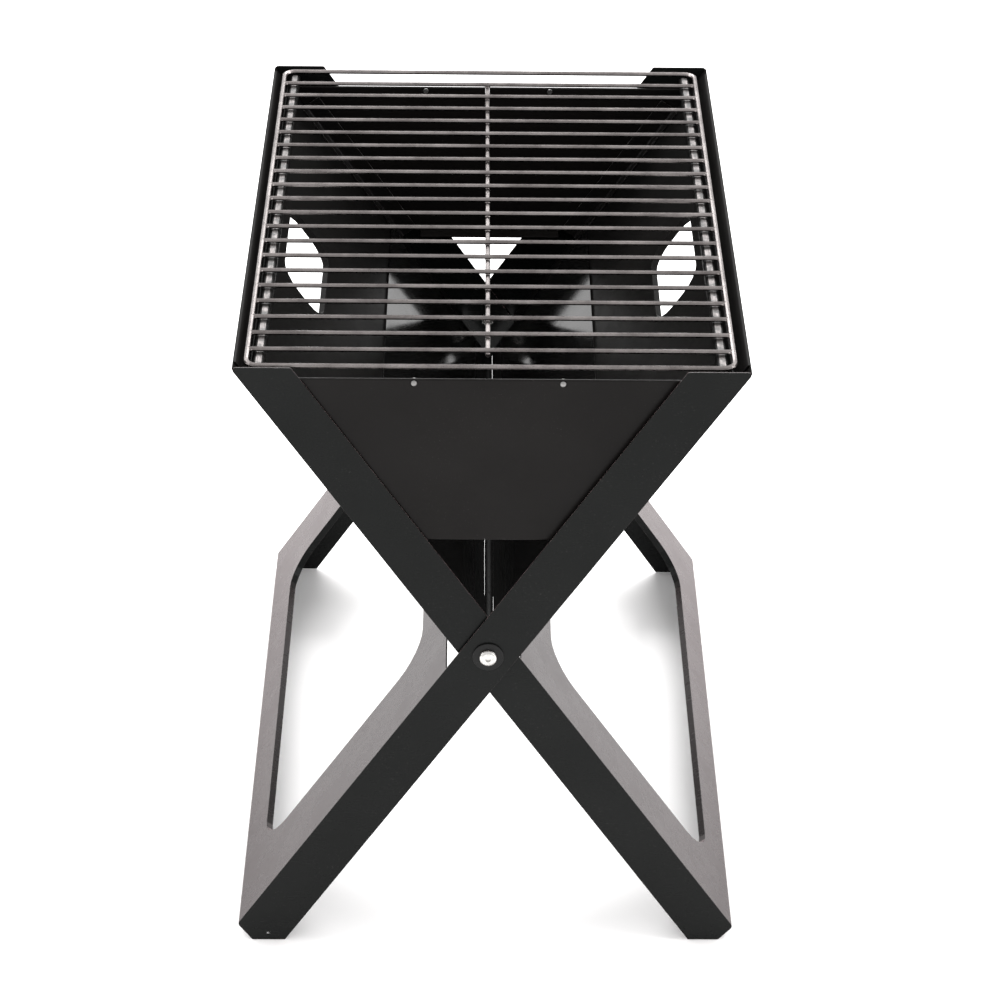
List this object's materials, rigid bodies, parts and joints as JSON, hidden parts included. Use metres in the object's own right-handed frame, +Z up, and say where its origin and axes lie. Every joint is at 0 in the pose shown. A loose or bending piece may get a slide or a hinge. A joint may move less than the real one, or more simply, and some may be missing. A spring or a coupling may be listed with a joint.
{
  "type": "folding grill",
  "caption": "Tabletop charcoal grill that folds flat: two crossed sheet metal frames on a pivot, a V fire box with vents, lift-out end plates, hinged charcoal tray and wire grate",
  "frame": {"origin": "on the floor, under the middle of the grill", "axes": "+Z up; +Y runs from the front end plate to the rear one; +X to the right, towards the rim of the outer frame"},
  "size_m": [0.3163, 0.4714, 0.412],
  "materials": {
    "black_enamel": "satin black heat-proof coat on bent steel sheet",
    "fire_box_enamel": "satin black heat-proof coat inside and outside the fire box",
    "tray_enamel": "satin dark coat, slightly glossier than the walls",
    "chromed_wire": "chromed steel wire, slightly dulled",
    "bright_steel": "bright zinc plated steel",
    "black_steel": "black oxide washers"
  },
  "bodies": {
    "outer_frame": {"outer_leg_frame": "black_enamel", "outer_fire_wall": "fire_box_enamel", "end_plate_guide_front_right": "fire_box_enamel", "end_plate_guide_rear_right": "fire_box_enamel", "pivot_bolt_front": "bright_steel", "pivot_bolt_rear": "bright_steel", "pivot_head_washer_front": "black_steel", "pivot_head_washer_rear": "black_steel", "pivot_spacer_front": "black_steel", "pivot_spacer_rear": "black_steel", "pivot_nut_front": "bright_steel", "pivot_nut_rear": "bright_steel"},
    "inner_frame": {"inner_leg_frame": "black_enamel", "inner_fire_wall": "fire_box_enamel", "end_plate_guide_front_left": "fire_box_enamel", "end_plate_guide_rear_left": "fire_box_enamel"},
    "front_plate": {"end_plate_front": "fire_box_enamel", "end_plate_rivet_front_left": "bright_steel", "end_plate_rivet_front_right": "bright_steel"},
    "rear_plate": {"end_plate_rear": "fire_box_enamel", "end_plate_rivet_rear_left": "bright_steel", "end_plate_rivet_rear_right": "bright_steel"},
    "tray": {"tray_leaf_left": "tray_enamel", "tray_hinge_pin": "bright_steel"},
    "tray_right_leaf": {"tray_leaf_right": "tray_enamel"},
    "grate": {"cooking_grate": "chromed_wire"}
  },
  "joints": [
    {"name": "fold", "type": "hinge", "parent": "outer_frame", "child": "inner_frame", "pos_m": [0, 0, 0.2161], "axis": [0, 1, 0], "range_deg": [0, 68.6]},
    {"name": "grate_lift", "type": "slide", "parent": "outer_frame", "child": "grate", "axis": [0, 0, 1], "range_m": [0, 0.66]},
    {"name": "front_plate_lift", "type": "slide", "parent": "outer_frame", "child": "front_plate", "axis": [0, 0, 1], "range_m": [0, 0.66]},
    {"name": "rear_plate_lift", "type": "slide", "parent": "outer_frame", "child": "rear_plate", "axis": [0, 0, 1], "range_m": [0, 0.66]},
    {"name": "tray_lift", "type": "slide", "parent": "outer_frame", "child": "tray", "axis": [0, 0, 1], "range_m": [0, 0.66]},
    {"name": "tray_fold", "type": "hinge", "parent": "tray", "child": "tray_right_leaf", "pos_m": [0.00073, 0, 0.196], "axis": [0, -1, 0], "range_deg": [0, 68]}
  ],
  "couplings": [
    {"joint": "grate_lift", "follows": "fold", "m_per_rad": 0.55},
    {"joint": "front_plate_lift", "follows": "fold", "m_per_rad": 0.55},
    {"joint": "rear_plate_lift", "follows": "fold", "m_per_rad": 0.55},
    {"joint": "tray_lift", "follows": "fold", "m_per_rad": 0.55}
  ]
}
